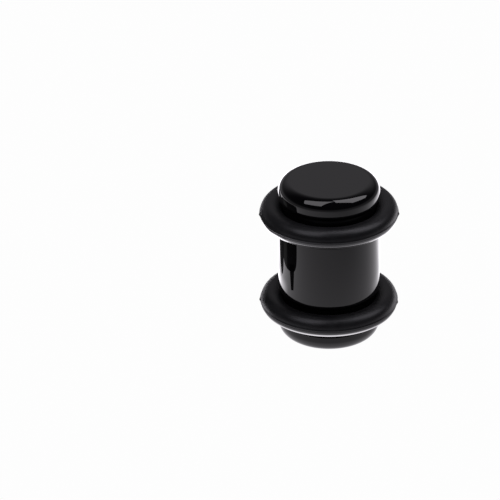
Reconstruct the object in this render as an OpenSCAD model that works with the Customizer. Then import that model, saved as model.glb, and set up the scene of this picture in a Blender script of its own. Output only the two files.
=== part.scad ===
// A straight ear stretching plug: a polished acrylic bar with a flat, round-rimmed face at each
// end, and near each end a shallow groove that seats a moulded rubber ring. The lobe sits on the
// bar between the rings, and one ring is stretched off over the end to put the plug in.
// The origin is the middle of the lower end face, and +Z runs along the bar's axis.

/* [Plug] */
// Diameter of the wearing surface that the lobe sits on (10 mm is the 00 gauge)
plug_d = 10; // [8:0.5:16]
// Length of the plug from end face to end face
plug_l = 16.6; // [15:0.1:24]
// Radius of the rounded rim round each end face
rim_r = 1.15; // [0.5:0.05:1.3]

/* [Ring grooves] */
// Distance from an end face to the middle of the groove next to it
groove_inset = 3.45; // [3.2:0.05:4.5]
// Depth of a groove's floor below the wearing surface
groove_depth = 0.35; // [0.2:0.05:0.5]
// Radius that rounds each edge of a groove over into the wearing surface
shoulder_r = 0.5; // [0.4:0.05:0.8]
// Free room beside a ring on the floor of its groove, on each side
groove_play = 0.3; // [0.1:0.05:0.4]

/* [Rubber rings] */
// Thickness of a ring's round section
ring_d = 2.1; // [1.6:0.1:2.2]
// Clearance between the bore of a ring and the floor of its groove
seat_gap = 0.05; // [0.02:0.01:0.1]
// Depth by which the bore of a stretched ring is pressed flat
bore_press = 0.1; // [0.05:0.05:0.15]
// Height of the fine moulding ridge that runs round the outside of a ring
ridge_h = 0.12; // [0.04:0.01:0.15]
// Width of the moulding ridge where it rises from the ring
ridge_w = 0.3; // [0.2:0.05:0.4]

/* [Hidden] */
$fn = 144;

// Radius of the wearing surface, and of the flat part of an end face
plug_r = plug_d / 2;
face_r = plug_r - rim_r;

// Heights of the two grooves, and of the ring in each, above the lower end face
lower_groove_z = groove_inset;
upper_groove_z = plug_l - groove_inset;

// A groove: radius of its floor, half the width of that floor, the length of the bar that a
// rounded shoulder takes up, and half the width of the groove where it meets the wearing surface
floor_r = plug_r - groove_depth;
floor_half_w = ring_d / 2 + groove_play;
shoulder_run = sqrt(pow(shoulder_r, 2) - pow(shoulder_r - groove_depth, 2));
groove_half_w = floor_half_w + shoulder_run;

// A ring: radius of its section, of the circle that the section's centre follows, and how far
// from that centre the ridge's two foot lines lie on the round section
section_r = ring_d / 2;
ring_path_r = floor_r + seat_gap + section_r - bore_press;
ridge_foot = sqrt(pow(section_r, 2) - pow(ridge_w / 2, 2));

// Half section of the plain bar: a rectangle whose two outer corners are quarter rounds
module bar_section() {
    square([face_r, plug_l]);
    translate([0, rim_r]) square([plug_r, plug_l - 2 * rim_r]);
    for (z = [rim_r, plug_l - rim_r]) {
        translate([face_r, z]) circle(r = rim_r);
    }
}

// Half section of the material that a groove takes off the bar, centred on the groove: a flat
// floor between two shoulders that roll over into the wearing surface
module groove_section() {
    difference() {
        translate([floor_r, -groove_half_w]) square([plug_r, 2 * groove_half_w]);
        for (z = [-groove_half_w, groove_half_w]) {
            translate([plug_r - shoulder_r, z]) circle(r = shoulder_r);
        }
    }
}

// Section of a rubber ring: a disc with the low ridge that the two halves of the mould leave, cut
// straight where the bore is pressed flat towards the floor of the groove
module ring_section() {
    difference() {
        union() {
            circle(r = section_r);
            polygon([
                [0, -ridge_w / 2],
                [ridge_foot, -ridge_w / 2],
                [section_r + ridge_h, 0],
                [ridge_foot, ridge_w / 2],
                [0, ridge_w / 2]
            ]);
        }
        translate([-ring_d, -section_r]) square([section_r + bore_press, ring_d]);
    }
}

module rubber_ring(height) {
    color("#1f1f21")
        translate([0, 0, height])
            rotate_extrude()
                translate([ring_path_r, 0]) ring_section();
}

module plug_body() {
    color("#161518")
        rotate_extrude()
            difference() {
                bar_section();
                translate([0, lower_groove_z]) groove_section();
                translate([0, upper_groove_z]) groove_section();
            }
}

module upper_ring() {
    rubber_ring(upper_groove_z);
}

module lower_ring() {
    rubber_ring(lower_groove_z);
}

plug_body();
upper_ring();
lower_ring();
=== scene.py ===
import bpy
import numpy as np
from mathutils import Matrix, Vector


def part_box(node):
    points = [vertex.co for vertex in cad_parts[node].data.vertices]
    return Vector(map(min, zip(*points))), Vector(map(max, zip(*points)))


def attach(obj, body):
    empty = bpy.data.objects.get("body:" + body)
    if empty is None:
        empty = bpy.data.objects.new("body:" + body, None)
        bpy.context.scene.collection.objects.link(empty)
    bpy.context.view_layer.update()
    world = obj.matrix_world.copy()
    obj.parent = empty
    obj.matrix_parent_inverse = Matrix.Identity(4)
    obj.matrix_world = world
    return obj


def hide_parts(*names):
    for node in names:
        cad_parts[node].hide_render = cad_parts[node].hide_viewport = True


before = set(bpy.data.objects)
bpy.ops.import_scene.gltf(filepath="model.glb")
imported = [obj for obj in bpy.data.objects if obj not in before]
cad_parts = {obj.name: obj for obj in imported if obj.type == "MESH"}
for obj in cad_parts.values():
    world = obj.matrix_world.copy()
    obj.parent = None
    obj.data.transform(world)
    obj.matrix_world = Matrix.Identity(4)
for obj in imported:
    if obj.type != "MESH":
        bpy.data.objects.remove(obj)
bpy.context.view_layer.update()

# Acrylic bar
# The plug itself is one straight bar of black cast acrylic, turned to 10 mm across and polished
# until its end faces mirror the room. Each end has a rounded rim, and a shallow turned groove
# near each end holds a ring. The bar stands on its lower face, and both ends are alike.
bar_low, bar_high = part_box("plug_body")
bar_radius = (bar_high[0] - bar_low[0]) / 2
rim_radius = 0.00115
groove_depth = 0.00035
groove_floor_half = 0.00135
shoulder_radius = 0.0005
# The grooves are drawn 0.1 mm nearer the end faces than the solid's, so that the lower one's
# lower shoulder shows under its ring
groove_inset = 0.00335
bar_turns = 320
face_steps = 12
rim_steps = 40
groove_steps = 14


def arc(centre_r, centre_z, radius, start, end, steps):
    """Points on a circle of the half section: radius times the cosine and the sine of an angle
    that runs evenly from start to end, in degrees, about (centre_r, centre_z)."""
    angle = np.radians(np.linspace(start, end, steps))
    return np.stack([centre_r + radius * np.cos(angle), centre_z + radius * np.sin(angle)], axis=1)


def groove_profile(middle_z):
    """One groove from below to above: a shoulder rolls in from the bar, a flat floor, and a
    shoulder rolls out again. The roll ends where it has sunk by the groove's depth."""
    sunk = np.degrees(np.arccos(1 - groove_depth / shoulder_radius))
    run = shoulder_radius * np.sin(np.radians(sunk))
    reach = groove_floor_half + run
    centre_r = bar_radius - shoulder_radius
    floor_z = middle_z + np.linspace(-groove_floor_half, groove_floor_half, groove_steps)[1:-1]
    return np.concatenate([
        arc(centre_r, middle_z - reach, shoulder_radius, 0, sunk, groove_steps),
        np.stack([np.full_like(floor_z, bar_radius - groove_depth), floor_z], axis=1),
        arc(centre_r, middle_z + reach, shoulder_radius, -sunk, 0, groove_steps),
    ])


def revolved(name, profile, turns):
    """A closed surface of revolution about Z: x = r cos a, y = r sin a, z = z for each profile
    point (r, z) and each of the evenly spaced angles a, with a pole at each end of the profile."""
    angle = np.arange(turns) * (2 * np.pi / turns)
    radius, height = profile[1:-1, 0], profile[1:-1, 1]
    x = radius[:, None] * np.cos(angle)
    y = radius[:, None] * np.sin(angle)
    z = np.broadcast_to(height[:, None], x.shape)
    grid = np.stack([x, y, z], axis=2).reshape(-1, 3)
    poles = np.array([[0, 0, profile[0, 1]], [0, 0, profile[-1, 1]]])
    rows, bottom, top = len(radius), len(grid), len(grid) + 1
    here = np.arange(turns)
    after = (here + 1) % turns
    row = np.arange(rows - 1)[:, None] * turns
    quads = np.stack([row + here, row + after, row + turns + after, row + turns + here], axis=2)
    last = (rows - 1) * turns
    lower_fan = np.stack([np.full(turns, bottom), after, here], axis=1)
    upper_fan = np.stack([np.full(turns, top), last + here, last + after], axis=1)
    faces = quads.reshape(-1, 4).tolist() + lower_fan.tolist() + upper_fan.tolist()
    mesh = bpy.data.meshes.new(name)
    mesh.from_pydata(np.concatenate([grid, poles]).tolist(), [], faces)
    mesh.shade_smooth()
    return mesh


def put_in_scene(data):
    """A new object of a mesh or a camera, under its own name, linked into the scene. It stands at
    the origin, unturned."""
    made = bpy.data.objects.new(data.name, data)
    bpy.context.scene.collection.objects.link(made)
    return made


face_radius = bar_radius - rim_radius
face_r = np.linspace(0, face_radius, face_steps)[:-1]
bar_profile = np.concatenate([
    np.stack([face_r, np.full_like(face_r, bar_low[2])], axis=1),
    arc(face_radius, bar_low[2] + rim_radius, rim_radius, -90, 0, rim_steps),
    groove_profile(bar_low[2] + groove_inset),
    groove_profile(bar_high[2] - groove_inset),
    arc(face_radius, bar_high[2] - rim_radius, rim_radius, 0, 90, rim_steps),
    np.stack([face_r[::-1], np.full_like(face_r, bar_high[2])], axis=1),
])
acrylic_bar = put_in_scene(revolved("acrylic_bar", bar_profile, bar_turns))

# The looks of the bar: how black and how polished it is, where handling has dulled it, and the
# slow waves that polishing leaves along it
acrylic_black = (0.0022, 0.0020, 0.0026, 1)
acrylic_ior = 1.49
polish_roughness = (0.012, 0.045)
dust_grey = (0.05, 0.048, 0.046, 1)
dust_roughness = 0.4
wave_scale = 210.0
wave_stretch = (1.0, 1.0, 2.2)
wave_depth = 0.000006


def feed(node, inputs):
    """Give a node its inputs, by name or by number: each takes a value, or is linked from another
    node's output."""
    for key, value in inputs.items():
        if isinstance(value, bpy.types.NodeSocket):
            node.id_data.links.new(value, node.inputs[key])
        else:
            node.inputs[key].default_value = value


def add_node(tree, kind, inputs, **settings):
    """Add one shader node with the given settings and inputs."""
    made = tree.nodes.new("ShaderNode" + kind)
    for setting, value in settings.items():
        setattr(made, setting, value)
    feed(made, inputs)
    return made


def maths(tree, operation, *terms):
    """The output of a Math node on one to three sockets or numbers."""
    return add_node(tree, "Math", dict(enumerate(terms)), operation=operation).outputs["Value"]


def mapped(tree, value, limits, results=(0.0, 1.0), easing="LINEAR"):
    """The output of a Map Range node: the first result up to the first limit, the second from the
    second limit on, and a straight or an eased run from one to the other between them."""
    made = add_node(tree, "MapRange", {"Value": value, "From Min": limits[0], "From Max": limits[1],
                                       "To Min": results[0], "To Max": results[1]},
                    interpolation_type=easing)
    return made.outputs["Result"]


def mixed(tree, factor, first, second, kind="RGBA"):
    """The output of a Mix node: first where the factor is 0, and second where it is 1."""
    made = add_node(tree, "Mix", {"Factor": factor, "A": first, "B": second}, data_type=kind)
    return made.outputs["Result"]


def handling_marks():
    """The shared group of marks that handling leaves. Smudge is a soft cloud pattern from 0 to 1.
    Specks is 1 on small dust specks, one at most in each cell of a random cell pattern, and only
    in the share of the cells that Speck Share gives."""
    tree = bpy.data.node_groups.new("handling_marks", "ShaderNodeTree")
    for name, kind in (("Vector", "Vector"), ("Smudge Scale", "Float"), ("Speck Scale", "Float"),
                       ("Speck Size", "Float"), ("Speck Share", "Float")):
        tree.interface.new_socket(name, in_out="INPUT", socket_type="NodeSocket" + kind)
    for name in ("Smudge", "Specks"):
        tree.interface.new_socket(name, in_out="OUTPUT", socket_type="NodeSocketFloat")
    given = tree.nodes.new("NodeGroupInput").outputs
    cloud = add_node(tree, "TexNoise", {"Vector": given["Vector"], "Scale": given["Smudge Scale"],
                                        "Detail": 3.0, "Roughness": 0.55, "Distortion": 0.6})
    cloud_edge = (0.42, 0.72)
    cells = add_node(tree, "TexVoronoi", {"Vector": given["Vector"], "Scale": given["Speck Scale"]})
    cell_colour = add_node(tree, "SeparateColor", {"Color": cells.outputs["Color"]})
    close = maths(tree, "LESS_THAN", cells.outputs["Distance"], given["Speck Size"])
    chosen = maths(tree, "LESS_THAN", cell_colour.outputs["Red"], given["Speck Share"])
    feed(tree.nodes.new("NodeGroupOutput"), {
        "Smudge": mapped(tree, cloud.outputs["Fac"], cloud_edge),
        "Specks": maths(tree, "MULTIPLY", close, chosen),
    })
    return tree


marks = handling_marks()


def placed_marks(tree, on_piece, smudge_scale, speck_scale, speck_size, speck_share):
    """The smudges and the specks of the shared marks, placed in a material at its own scales."""
    placed = add_node(tree, "Group", {
        "Vector": on_piece, "Smudge Scale": smudge_scale, "Speck Scale": speck_scale,
        "Speck Size": speck_size, "Speck Share": speck_share,
    }, node_tree=marks)
    return placed.outputs["Smudge"], placed.outputs["Specks"]


def new_material(name):
    """A new material with its node tree and its Principled shader."""
    made = bpy.data.materials.new(name)
    made.use_nodes = True
    return made, made.node_tree, made.node_tree.nodes["Principled BSDF"]


def polished_acrylic():
    """Black acrylic with a mirror polish. Smudges dull it a little, dust specks are paler and
    rough, and the waves of the polish bend its reflections."""
    made, tree, shader = new_material("polished_black_acrylic")
    on_bar = add_node(tree, "TexCoord", {}).outputs["Object"]
    smudge, specks = placed_marks(tree, on_bar, smudge_scale=330.0, speck_scale=1500.0,
                                  speck_size=0.045, speck_share=0.10)
    film = mapped(tree, smudge, (0.0, 1.0), polish_roughness)
    stretched = add_node(tree, "VectorMath", {0: on_bar, 1: wave_stretch}, operation="MULTIPLY")
    waves = add_node(tree, "TexNoise", {"Vector": stretched.outputs["Vector"],
                                        "Scale": wave_scale, "Detail": 1.0})
    rippled = add_node(tree, "Bump", {"Height": waves.outputs["Fac"], "Distance": wave_depth,
                                      "Strength": 1.0})
    feed(shader, {
        "Base Color": mixed(tree, specks, acrylic_black, dust_grey),
        "Roughness": maths(tree, "MULTIPLY_ADD", specks, dust_roughness, film),
        "IOR": acrylic_ior,
        "Normal": rippled.outputs["Normal"],
    })
    return made


acrylic_bar.data.materials.append(polished_acrylic())
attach(acrylic_bar, "root")
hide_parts("plug_body")

# Rubber rings
# Each ring is moulded black rubber with a round section. The two halves of its mould meet round
# the outside and leave a fine ridge there. The rings are stretched over the end faces and grip
# the floors of the grooves.
ring_turns = 420
ridge_steps = 17
round_steps = 72
# The ridge is lower than the solid's, and the section lies further out, which keeps the width.
# The fine steps reach ridge_reach times the ridge's half width, where its bell curve has died.
ridge_height = 0.00005
ridge_half_width = 0.00015
ridge_reach = 1.6
ridge_fall = 3
# Two waves round the ring make the ridge uneven: how many there are in a turn, and how high
# they are as shares of the ridge
ridge_waves = ((5, 0.16), (13, 0.12))
bore_swell = 0.00012
bore_film = 0.000003
# The rubber was fed into the mould at two gates, at these degrees round each ring
ring_gates = {"upper_ring": (-5, 186), "lower_ring": (-7, 182)}
gate_height = 0.00008
gate_half_width = 0.0003


def ridge_heights(angle, outer_radius, gates):
    """The ridge's height at each angle round the ring: its own height, times one plus the sines
    of its two waves, whose phases are the gates' numbers. A bell curve of the distance along the
    ring is added at each gate."""
    uneven = 1.0
    for (waves, share), phase in zip(ridge_waves, gates):
        uneven = uneven + share * np.sin(waves * angle + phase)
    height = ridge_height * uneven
    for gate in np.radians(gates):
        off = (np.mod(angle - gate + np.pi, 2 * np.pi) - np.pi) * outer_radius
        height = height + gate_height * np.exp(-(off / gate_half_width) ** 2)
    return height


def wrapped_mesh(name, points, turn, around):
    """A closed surface of quads on a grid of points that wraps round both ways. The UV map holds
    the share of the turn round the axis, and of the turn round the section. These come from the
    angles turn and around, which end one step past the grid, where it meets its start."""
    rows, columns = points.shape[:2]
    i = np.arange(rows)[:, None]
    j = np.arange(columns)
    steps = ((0, 0), (1, 0), (1, 1), (0, 1))
    quads = np.stack([(i + a) % rows * columns + (j + b) % columns for a, b in steps], axis=2)
    mesh = bpy.data.meshes.new(name)
    mesh.from_pydata(points.reshape(-1, 3).tolist(), [], quads.reshape(-1, 4).tolist())
    flat = np.ones((rows, columns))
    angles = [np.stack([turn[i + a] * flat, around[j + b] * flat], axis=2) for a, b in steps]
    share = np.stack(angles, axis=2) / (2 * np.pi)
    mesh.uv_layers.new(name="turn_and_section").data.foreach_set("uv", share.ravel())
    mesh.shade_smooth()
    return mesh


def moulded_ring(name, node, gates):
    """A closed ring about Z. Its section is a circle whose centre follows a circle about the
    axis. Where it faces outwards it swells by a bell curve as high as the ridge is there. Its
    bore side swells too, and is cut flat at the groove's floor. The turn round the section
    starts at the ridge and goes over the top."""
    low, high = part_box(node)
    section_radius = (high[2] - low[2]) / 2
    middle_z = (high[2] + low[2]) / 2
    path_radius = high[0] - ridge_height - section_radius
    bore_radius = bar_radius - groove_depth + bore_film
    fine = np.linspace(-ridge_reach, ridge_reach, ridge_steps) * ridge_half_width / section_radius
    coarse = np.linspace(fine[-1], 2 * np.pi + fine[0], round_steps)[1:]
    around = np.concatenate([fine, coarse])
    turn = np.arange(ring_turns + 1) * (2 * np.pi / ring_turns)
    on_section, on_ring = around[:-1], turn[:-1]
    from_ridge = np.where(on_section > np.pi, on_section - 2 * np.pi, on_section) * section_radius
    bell = np.exp(-ridge_fall * (from_ridge / ridge_half_width) ** 2)
    swell = ridge_heights(on_ring, high[0], gates)[:, None] * bell
    outward = np.cos(on_section)
    radius = section_radius + swell + np.where(outward < 0, bore_swell, 0)
    r = np.maximum(path_radius + radius * outward, bore_radius)
    z = middle_z + (section_radius + swell) * np.sin(on_section)
    points = np.stack([np.cos(on_ring)[:, None] * r, np.sin(on_ring)[:, None] * r, z], axis=2)
    return put_in_scene(wrapped_mesh(name, points, turn, around))


# The looks of the rings: satin black rubber with a thin dull bloom, which turns matt above the
# ridge where it is seen aslant. Below the ridge it keeps the polish of the mould, which is
# strongest in one band.
rubber_black = (0.0065, 0.0065, 0.0075, 1)
bloom_black = (0.0105, 0.0105, 0.0115, 1)
rubber_ior = 1.4
rubber_tint = (0.84, 0.84, 0.89, 1)
satin_roughness = (0.36, 0.44)
matt_roughness = 0.6
matt_facing = (0.52, 0.85)
moulded_roughness = 0.15
gloss_roughness = 0.02
gloss_ior = 25.0
# Shares of the turn round the section, which leaves the ridge over the top and comes back to it
# from below: where the lower side begins, where the gloss band begins, where it thins to a faint
# coat, and where the rubber is satin again
half_turn = 0.5
gloss_start = (0.80, 0.83)
gloss_end = (0.900, 0.935)
satin_start = (0.95, 0.985)
faint_coat = 0.07
# The gloss band shows only where it is seen aslant, and is weaker higher up the bar
gloss_facing = (0.36, 0.48)
gloss_height = (0.004, 0.012)
gloss_strength = (1.0, 0.8)
grain_scale = 5200.0
grain_depth = 0.0000025


def ring_rubber():
    """Satin rubber with bloom, dust and a fine moulded grain. The roughness and the coat follow
    the turn round the section and how far the surface faces away."""
    made, tree, shader = new_material("moulded_ring_rubber")
    on_ring = add_node(tree, "TexCoord", {}).outputs["Object"]
    smudge, specks = placed_marks(tree, on_ring, smudge_scale=420.0, speck_scale=1400.0,
                                  speck_size=0.05, speck_share=0.16)
    ring_map = add_node(tree, "UVMap", {}, uv_map="turn_and_section").outputs["UV"]
    round_section = add_node(tree, "SeparateXYZ", {"Vector": ring_map}).outputs["Y"]
    facing = add_node(tree, "LayerWeight", {"Blend": 0.5}).outputs["Facing"]
    up_bar = add_node(tree, "SeparateXYZ", {"Vector": on_ring}).outputs["Z"]
    below_ridge = maths(tree, "GREATER_THAN", round_section, half_turn)
    satin = mapped(tree, smudge, (0.0, 1.0), satin_roughness)
    upper_side = mapped(tree, facing, matt_facing, (satin, matt_roughness))
    lower_side = mapped(tree, round_section, satin_start, (moulded_roughness, satin))
    faint = maths(tree, "MULTIPLY", below_ridge, faint_coat)
    to_faint = mapped(tree, round_section, gloss_end, (below_ridge, faint))
    gloss = mapped(tree, round_section, gloss_start, (0.0, to_faint))
    aslant = mapped(tree, facing, gloss_facing, (faint, gloss))
    weaker = mapped(tree, up_bar, gloss_height, gloss_strength)
    grain = add_node(tree, "TexNoise", {"Vector": on_ring, "Scale": grain_scale, "Detail": 2.0})
    pebbled = add_node(tree, "Bump", {"Height": grain.outputs["Fac"], "Distance": grain_depth,
                                      "Strength": 1.0})
    feed(shader, {
        "Base Color": mixed(tree, specks, mixed(tree, smudge, rubber_black, bloom_black), dust_grey),
        "Roughness": mixed(tree, below_ridge, upper_side, lower_side, "FLOAT"),
        "IOR": rubber_ior,
        "Specular Tint": rubber_tint,
        "Coat Weight": maths(tree, "MULTIPLY", aslant, weaker),
        "Coat Roughness": gloss_roughness,
        "Coat IOR": gloss_ior,
        "Normal": pebbled.outputs["Normal"],
    })
    return made


rubber = ring_rubber()
for node, gates in ring_gates.items():
    ring = moulded_ring("rubber_" + node, node, gates)
    ring.data.materials.append(rubber)
    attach(ring, "root")
    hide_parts(node)

# Floor
# A pale glowing table top, paper white to the camera. In the plug's reflections its glow is painted
# light and shade: dim in front and bright behind, a little brighter at the left, a painted shadow
# close round the foot with a painted bright band under the rings, and far out it fades to one dim
# level.
floor_half = 3.0
floor_z = -0.00001
paper_white = (0.985, 0.985, 0.985, 1)
light_tint = (1.0, 0.97, 1.02)
# The glow from front to back, as shares of the way and of the full glow. The way is measured on
# the bearing, and within even_reach of the axis on the distance. This painted light, dim in front and
# bright behind, stands in for how the room's light falls on the table.
even_reach = 0.030
full_glow = 4.0
depth_painted_light = ((0.0, 0.13), (0.17, 0.145), (0.35, 0.19), (0.5, 0.25), (0.67, 0.40),
              (0.76, 0.65), (1.0, 0.9))
# Each pair of limits is in metres: of the reach from the axis, or where the name says side or
# depth, of the place from left to right or from front to back. A pair of glows is what the glow
# is multiplied by at the two limits before it.
# Round the foot the glow is painted light and shade: a painted bright band under the rings, then a
# painted shadow of the plug just beyond them
foot_limits = (0.0055, 0.0072)
foot_painted_light_and_shade = (1.1, 0.64)
foot_end_limits = (0.0092, 0.0125)
# Painted light: brighter at the left, and brighter still close behind the plug at the left
side_limits = (-0.020, 0.020)
side_painted_light = (1.3, 0.88)
close_side_limits = (-0.009, 0.001)
close_side_painted_light = (1.95, 1.25)
close_depth_limits = (0.0, 0.0036)
close_end_limits = (0.0135, 0.0160)
fade_limits = (0.035, 0.150)
far_glow = 0.21


def pale_to_camera(tree, glow):
    """A colour that is paper white to the camera, and the light's tint times glow to all other
    rays."""
    tinted = add_node(tree, "VectorMath", {0: light_tint, "Scale": glow}, operation="SCALE")
    to_camera = add_node(tree, "LightPath", {}).outputs["Is Camera Ray"]
    return mixed(tree, to_camera, tinted.outputs["Vector"], paper_white)


def empty_material(name):
    """A new material whose node tree is empty."""
    made = bpy.data.materials.new(name)
    made.use_nodes = True
    made.node_tree.nodes.clear()
    return made


def add_glow(tree, colour, strength):
    """End a material's tree in an Emission shader."""
    glow = add_node(tree, "Emission", {"Color": colour, "Strength": strength})
    add_node(tree, "OutputMaterial", {"Surface": glow.outputs["Emission"]})


def lit_paper():
    """Paper that glows by the curve from front to back, times the share for the foot, the share
    for the side and the share for what lies close behind the plug. The curve and these shares are
    painted light and shade: dim in front and bright behind, a painted bright band and a painted
    shadow round the foot, and painted light at the left and close behind. It fades to far_glow."""
    made = empty_material("floor_paper")
    tree = made.node_tree
    on_floor = add_node(tree, "TexCoord", {}).outputs["Object"]
    places = add_node(tree, "SeparateXYZ", {"Vector": on_floor}).outputs
    reach = add_node(tree, "VectorMath", {0: on_floor}, operation="LENGTH").outputs["Value"]
    bearing = maths(tree, "DIVIDE", places["Y"], maths(tree, "MAXIMUM", reach, even_reach))
    ramp = add_node(tree, "FloatCurve", {"Value": mapped(tree, bearing, (-1.0, 1.0))})
    curve = ramp.mapping.curves[0]
    curve.points[0].location = depth_painted_light[0]
    curve.points[1].location = depth_painted_light[-1]
    for share, level in depth_painted_light[1:-1]:
        curve.points.new(share, level)
    ramp.mapping.update()
    by_depth = maths(tree, "MULTIPLY", ramp.outputs["Value"], full_glow)
    # Painted light under the rings and painted shadow round the foot
    painted_light_and_shade_near_foot = mapped(tree, reach, foot_limits, foot_painted_light_and_shade, "SMOOTHSTEP")
    by_foot = mapped(tree, reach, foot_end_limits, (painted_light_and_shade_near_foot, 1.0), "SMOOTHSTEP")
    # Painted light at the left and close behind the plug
    by_side = mapped(tree, places["X"], side_limits, side_painted_light)
    close_by_side = mapped(tree, places["X"], close_side_limits, close_side_painted_light)
    close_behind = mapped(tree, places["Y"], close_depth_limits, (1.0, close_by_side))
    by_closeness = mapped(tree, reach, close_end_limits, (close_behind, 1.0), "SMOOTHSTEP")
    shares = maths(tree, "MULTIPLY", maths(tree, "MULTIPLY", by_foot, by_side), by_closeness)
    near_glow = maths(tree, "MULTIPLY", by_depth, shares)
    glow = mapped(tree, reach, fade_limits, (near_glow, far_glow), "SMOOTHSTEP")
    add_glow(tree, pale_to_camera(tree, glow), 1.0)
    return made


floor_corners = [(x * floor_half, y * floor_half, floor_z)
                 for x, y in ((-1, -1), (1, -1), (1, 1), (-1, 1))]
floor_mesh = bpy.data.meshes.new("floor")
floor_mesh.from_pydata(floor_corners, [], [(0, 1, 2, 3)])
floor_mesh.materials.append(lit_paper())
floor = put_in_scene(floor_mesh)

# Studio light
# Two soft boxes hang close together over the plug, one at the left and towards the camera, one at
# the right and a little behind. The rim of the plug shows both as one long wavy highlight.
lamp_height = 0.5
# The corners are places over the plug, as shares of lamp_height, to the right of the axis and
# behind it
left_corners = [(0.10, 0.08), (-0.60, 0.0), (-1.25, -0.65), (-0.35, -1.0)]
left_radiance = 2.4
right_corners = [(0.05, 0.30), (1.20, 0.55), (1.50, 0.30), (0.90, -0.40), (0.15, -0.15)]
right_radiance = 2.7


def softbox(name, corners, radiance):
    """A flat glowing cloth at lamp_height, over the given corners, that the camera doesn't see."""
    flat = np.array(corners) * lamp_height
    points = np.column_stack([flat, np.full(len(flat), lamp_height)])
    mesh = bpy.data.meshes.new(name)
    mesh.from_pydata(points.tolist(), [], [list(range(len(points)))])
    cloth = empty_material(name)
    add_glow(cloth.node_tree, (*light_tint, 1), radiance)
    mesh.materials.append(cloth)
    lamp = put_in_scene(mesh)
    lamp.visible_camera = False


softbox("left_softbox", left_corners, left_radiance)
softbox("right_softbox", right_corners, right_radiance)

# Room
# A pale backdrop stands behind the plug, brightest 31 degrees up, a dim skyline runs all round
# level with the table, and a faint haze lies behind at the left. To the camera the room is as
# pale as the table.
room_glow = 0.008
# Heights and spreads are sines of the angle above the table
backdrop_height = 0.515
backdrop_spread = 0.27
backdrop_focus = 7.4
backdrop_glow = 0.32
skyline_spread = 0.13
skyline_glow = 0.2
haze_spread = 0.22
haze_focus = 2.0
haze_leftward = 1.8
haze_glow = 0.12
# The least level part of a direction, so that straight up still has a bearing
least_level = 0.001


def bell(tree, value, middle, spread):
    """A bell curve: e to the power of minus the square of the distance of value from middle, in
    spreads."""
    away = maths(tree, "DIVIDE", maths(tree, "SUBTRACT", value, middle), spread)
    return maths(tree, "EXPONENT", maths(tree, "MULTIPLY", maths(tree, "MULTIPLY", away, away), -1.0))


def room_light(tree):
    """The sum of four glows. The backdrop's is a bell curve of the height, times a power of half
    of one plus the cosine of the bearing from straight behind. The skyline's is a bell curve of
    the height. The haze's is one too, and dies away with the bearing and to the right. The
    fourth is the same all over."""
    toward = add_node(tree, "TexCoord", {}).outputs["Generated"]
    parts = add_node(tree, "SeparateXYZ", {"Vector": toward}).outputs
    level_squared = maths(tree, "SUBTRACT", 1.0, maths(tree, "MULTIPLY", parts["Z"], parts["Z"]))
    level = maths(tree, "MAXIMUM", maths(tree, "SQRT", level_squared), least_level)
    cosine = maths(tree, "DIVIDE", parts["Y"], level)
    behind_share = maths(tree, "MULTIPLY", maths(tree, "ADD", cosine, 1.0), 0.5)
    sideways = maths(tree, "POWER", behind_share, backdrop_focus)
    upright = bell(tree, parts["Z"], backdrop_height, backdrop_spread)
    backdrop = maths(tree, "MULTIPLY", maths(tree, "MULTIPLY", sideways, upright), backdrop_glow)
    skyline = maths(tree, "MULTIPLY", bell(tree, parts["Z"], 0.0, skyline_spread), skyline_glow)
    turned = maths(tree, "MULTIPLY", maths(tree, "SUBTRACT", 1.0, cosine), haze_focus)
    fallen = maths(tree, "ADD", turned, maths(tree, "MULTIPLY", parts["X"], haze_leftward))
    haze_kept = maths(tree, "EXPONENT", maths(tree, "MULTIPLY", fallen, -1.0))
    low_haze = maths(tree, "MULTIPLY", bell(tree, parts["Z"], 0.0, haze_spread), haze_glow)
    haze = maths(tree, "MULTIPLY", low_haze, haze_kept)
    far_light = maths(tree, "ADD", maths(tree, "ADD", backdrop, skyline), haze)
    return maths(tree, "ADD", far_light, room_glow)


world = bpy.data.worlds.new("studio")
bpy.context.scene.world = world
world.use_nodes = True
tree = world.node_tree
feed(tree.nodes["Background"], {"Color": pale_to_camera(tree, room_light(tree))})

# Dark flags
# Two small black cards stand on edge at the left of the plug, one behind the other. The polished
# bar shows them as the dark strokes down its left side. They are seen only in reflections. The near
# card has a painted light: a dim grey glow towards its back that stands in for light falling on it.
flag_top = 0.0134
stem_lap = 0.001
outline_steps = 64
cloth_black = (0.01, 0.01, 0.01, 1)
cloth_roughness = 0.9
# The glow is painted light on the near card, a grey that stands in for light falling on it
painted_light_depth = (0.0004, 0.0016)
near_painted_light = 0.09
far_painted_light = 0.0


def flag_cloth(name, painted_glow):
    """A matt black cloth. Over painted_light_depth, from front to back, it turns to a dim grey glow
    of painted light, as strong as painted_glow.
    """
    cloth, tree, shader = new_material(name)
    on_cloth = add_node(tree, "TexCoord", {}).outputs["Object"]
    places = add_node(tree, "SeparateXYZ", {"Vector": on_cloth}).outputs
    feed(shader, {
        "Base Color": cloth_black,
        "Roughness": cloth_roughness,
        "Emission Color": mapped(tree, places["Y"], painted_light_depth, (0.0, painted_glow), "SMOOTHSTEP"),
        "Emission Strength": 1.0,
    })
    return cloth


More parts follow.
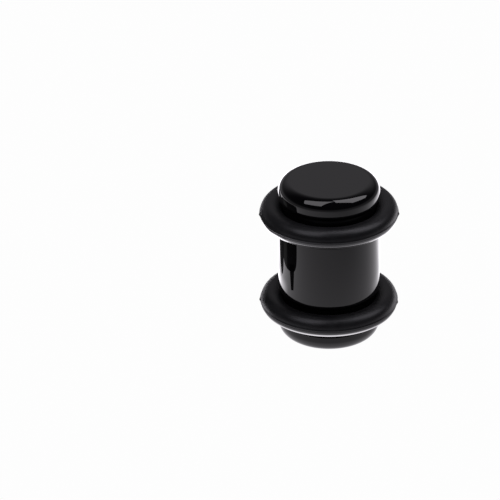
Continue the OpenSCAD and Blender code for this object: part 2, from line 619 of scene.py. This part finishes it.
def flag(name, cloth, side, middle, half_width, bottom, squareness, foot, foot_half):
    """An upright card in the plane x = side. Its outline is a superellipse, whose cosine and sine
    are raised to 2 / squareness, from bottom to flag_top. A stem that narrows to half its width
    stands on the floor at foot."""
    angle = np.linspace(-np.pi / 2, 1.5 * np.pi, outline_steps + 2)[1:-1]
    power = 2 / squareness
    across = np.sign(np.cos(angle)) * np.abs(np.cos(angle)) ** power
    upward = np.sign(np.sin(angle)) * np.abs(np.sin(angle)) ** power
    card_z = (flag_top + bottom) / 2 + (flag_top - bottom) / 2 * upward
    stem_top = bottom + stem_lap
    y = np.concatenate([middle + half_width * across, foot + foot_half * np.array([-2, -1, 1, 2])])
    z = np.concatenate([card_z, [stem_top, 0.0, 0.0, stem_top]])
    points = np.column_stack([np.full_like(y, side), y, z])
    corners = np.arange(len(points))
    mesh = bpy.data.meshes.new(name)
    mesh.from_pydata(points.tolist(), [], [corners[:-4].tolist(), corners[-4:].tolist()])
    mesh.materials.append(cloth)
    card = put_in_scene(mesh)
    card.visible_camera = False


# The near card carries the painted grey glow, the far one none
flag("near_flag", flag_cloth("flag_painted_light", near_painted_light), side=-0.0144, middle=-0.0004,
     half_width=0.0060, bottom=0.0024, squareness=6, foot=-0.0028, foot_half=0.0009)
flag("far_flag", flag_cloth("flag_black", far_painted_light), side=-0.0130, middle=0.0085,
     half_width=0.0050, bottom=0.0006, squareness=3, foot=0.0078, foot_half=0.0002)

# Camera
# A long lens 37 cm away, looking down on the plug. The point look_at is seen offset_px to the
# right of and below the middle of the frame.
elevation = np.radians(28.2)
distance = 0.370
look_at = Vector((0, 0, 0.00717))
focal_px = 3750.0
frame_px = 500.0
offset_px = (78.97, 15.0)
sensor_width = 36.0
nearest_seen = 0.01
camera_data = bpy.data.cameras.new("camera")
camera_data.sensor_width = sensor_width
camera_data.lens = focal_px / frame_px * sensor_width
camera_data.clip_start = nearest_seen
camera = put_in_scene(camera_data)
seat = look_at + distance * Vector((0, -np.cos(elevation), np.sin(elevation)))
straight = (look_at - seat).to_track_quat("-Z", "Y")
seen_at = Vector((offset_px[0], -offset_px[1], -focal_px)).normalized()
aside = seen_at.rotation_difference(Vector((0, 0, -1)))
camera.matrix_world = Matrix.Translation(seat) @ (straight @ aside).to_matrix().to_4x4()
bpy.context.scene.camera = camera
bpy.context.scene.view_settings.view_transform = "Standard"

bpy.context.view_layer.update()
